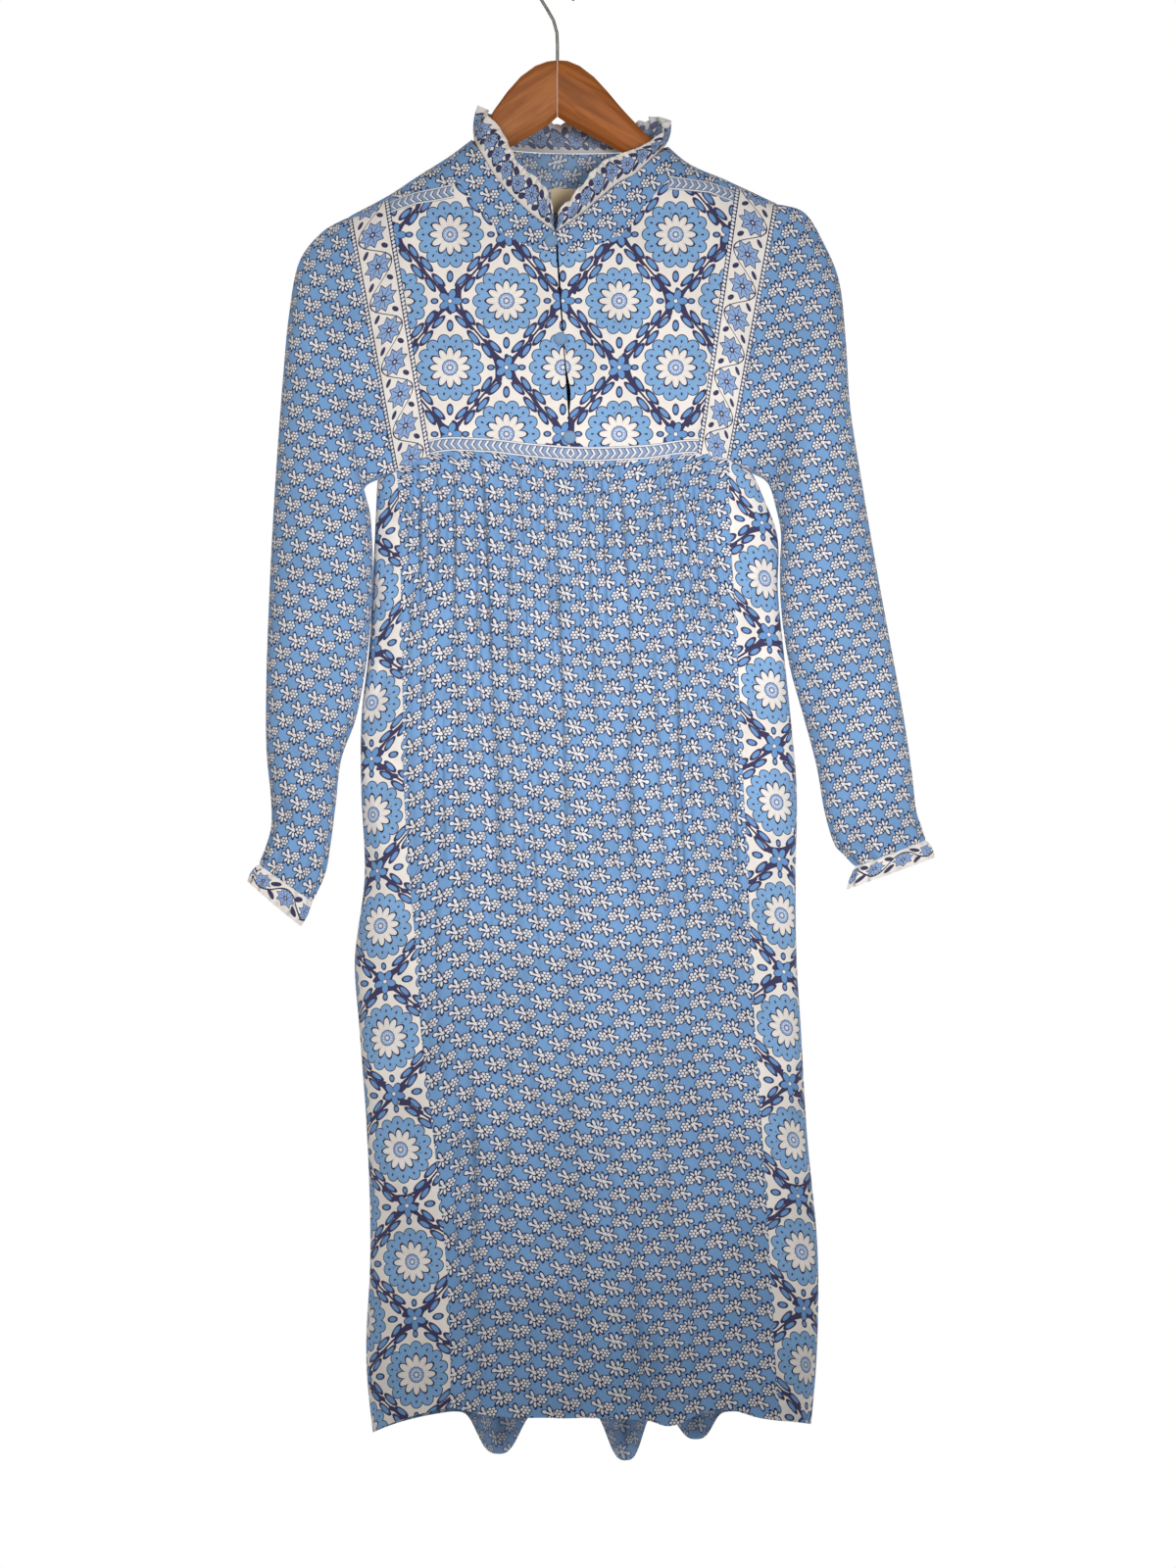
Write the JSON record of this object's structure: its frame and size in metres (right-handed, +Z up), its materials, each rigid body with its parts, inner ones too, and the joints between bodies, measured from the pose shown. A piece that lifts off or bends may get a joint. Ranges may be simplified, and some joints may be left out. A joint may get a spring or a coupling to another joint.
{
  "type": "long sleeve dress on hanger",
  "caption": "Midi dress of printed cotton with ruffled stand collar, yoke, buttoned slit, long gathered sleeves and full skirt, hanging flat on a wooden hanger.",
  "frame": {"origin": "inside top of the hook's crook, where a rail carries it", "axes": "+Z up, the front of the dress faces -Y, +X is to the right in the front view"},
  "size_m": [0.6191, 0.1213, 1.3488],
  "materials": {
    "sprig_cotton": "light printed cotton, blue with ivory sprigs",
    "large_print_cotton": "light printed cotton, ivory with blue and navy flowers",
    "border_print_cotton": "light printed cotton, ivory with a periwinkle vine",
    "blue_covered_button": "plain blue cotton over a domed button",
    "woven_label": "blank woven satin",
    "light_varnished_wood": "satin varnish",
    "dark_varnished_wood": "satin varnish",
    "steel_wire": "dull zinc plated"
  },
  "bodies": {
    "root": {"shoulder_yoke": "sprig_cotton", "neck_yoke_left": "sprig_cotton", "neck_yoke_right": "sprig_cotton", "front_yoke_left": "large_print_cotton", "front_yoke_right": "large_print_cotton", "yoke_border_left": "border_print_cotton", "yoke_border_right": "border_print_cotton", "collar_ruffle": "border_print_cotton", "sleeve_left": "sprig_cotton", "sleeve_right": "sprig_cotton", "cuff_ruffle_left": "border_print_cotton", "cuff_ruffle_right": "border_print_cotton", "skirt_front": "sprig_cotton", "side_panel_left": "large_print_cotton", "side_panel_right": "large_print_cotton", "skirt_back": "sprig_cotton", "neck_label": "woven_label", "button_top": "blue_covered_button", "button_middle": "blue_covered_button", "button_bottom": "blue_covered_button", "hanger_bar_left": "light_varnished_wood", "hanger_bar_right": "dark_varnished_wood", "hanger_hook": "steel_wire"}
  },
  "joints": []
}
